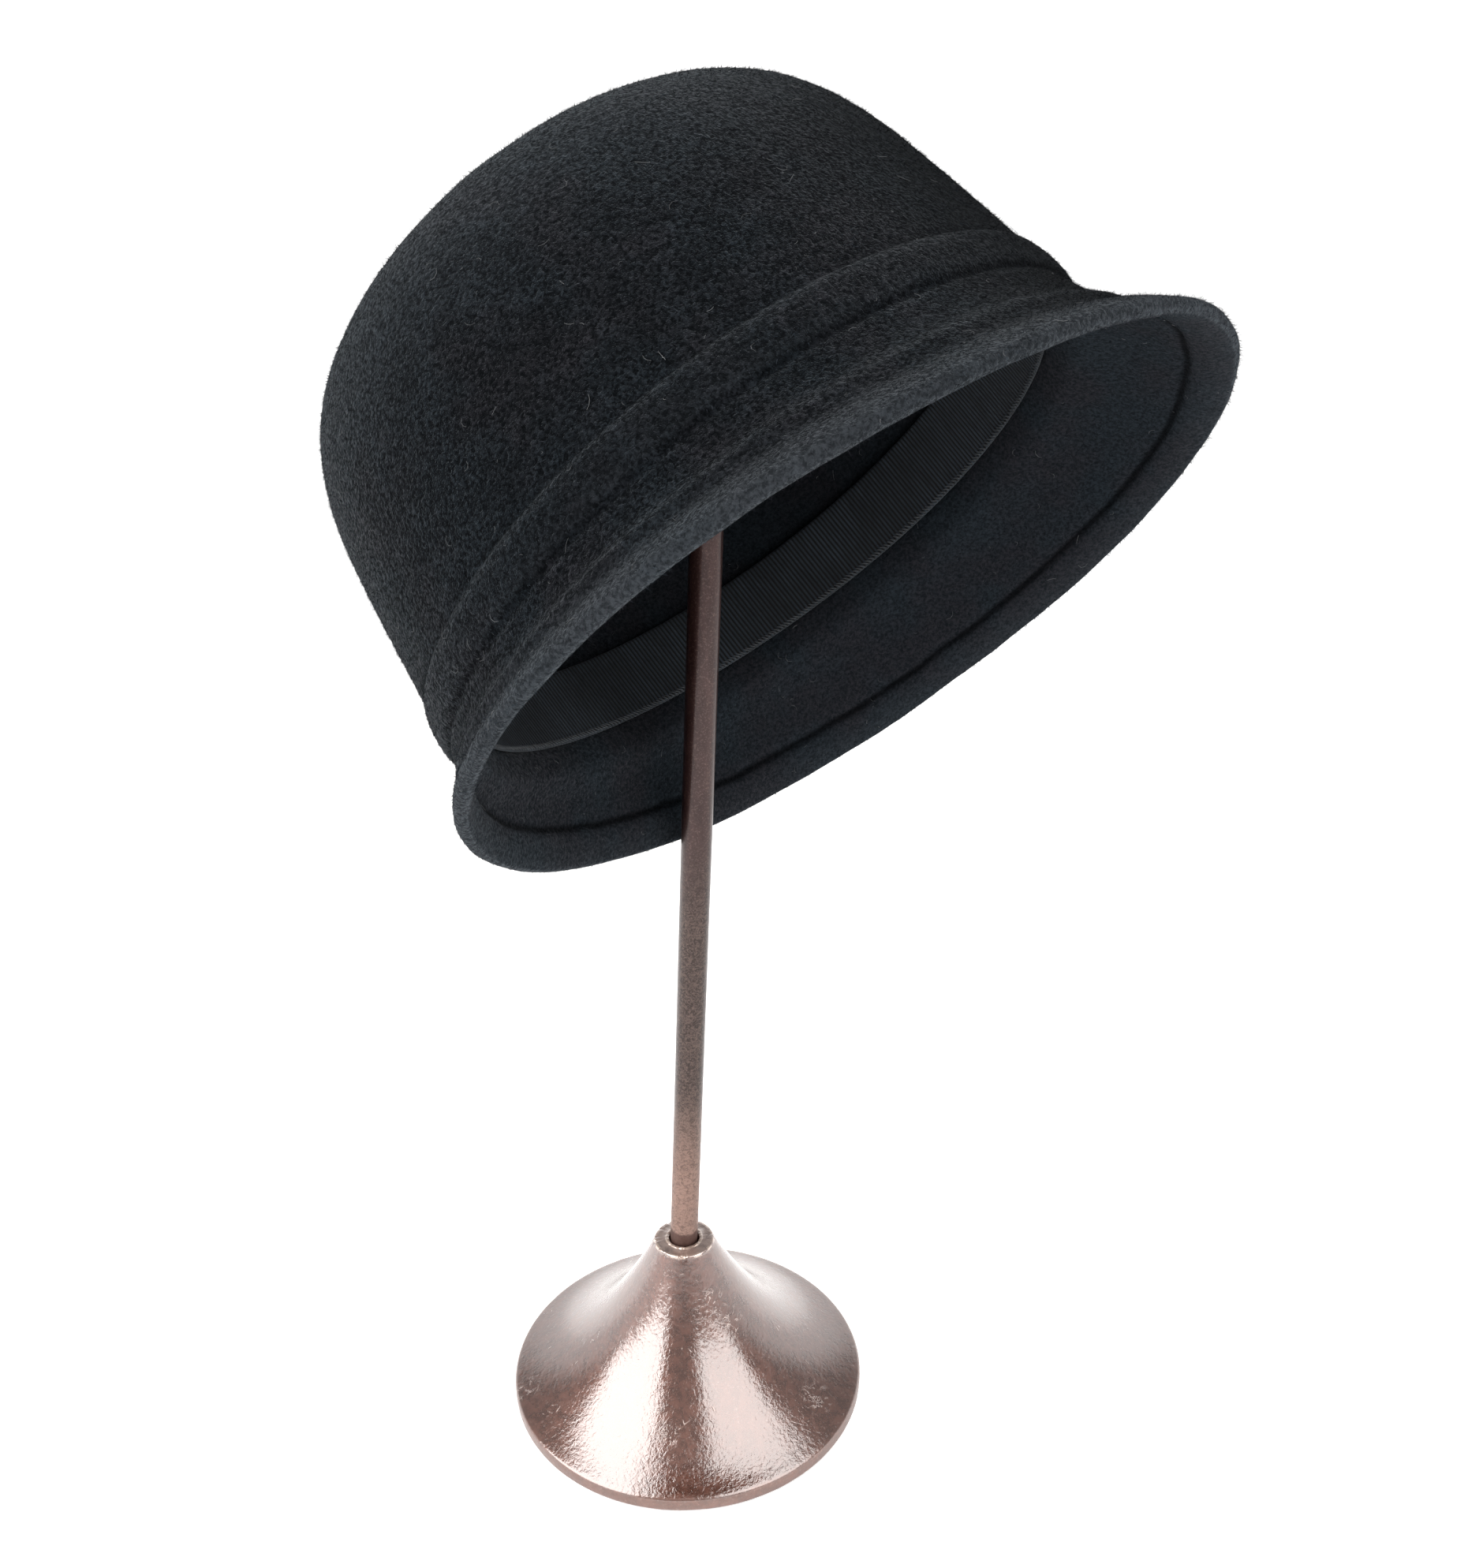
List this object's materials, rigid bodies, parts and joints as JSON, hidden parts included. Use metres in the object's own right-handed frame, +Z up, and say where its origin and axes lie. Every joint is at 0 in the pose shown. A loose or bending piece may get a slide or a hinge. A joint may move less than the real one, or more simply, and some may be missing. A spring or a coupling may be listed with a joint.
{
  "type": "cloche hat on a display stand",
  "caption": "Felt cloche hat with a moulded band and a turned-under hem, resting at a tilt on a slim rod with a flared round base.",
  "frame": {"origin": "middle of the stand's underside, on the surface it stands on", "axes": "+Z up; +X towards the hat's front, which is raised; +Y to the hat's left, which is turned down"},
  "size_m": [0.2439, 0.2104, 0.4409],
  "materials": {
    "felt": "napped wool felt",
    "ribbon": "ribbed ribbon",
    "base_metal": "glossy brown coating",
    "rod_metal": "satin brown coating",
    "knob": "dark stained"
  },
  "bodies": {
    "root": {"felt_body": "felt", "sweatband": "ribbon", "stand_base": "base_metal", "stand_rod": "rod_metal", "rod_knob": "knob"}
  },
  "joints": []
}
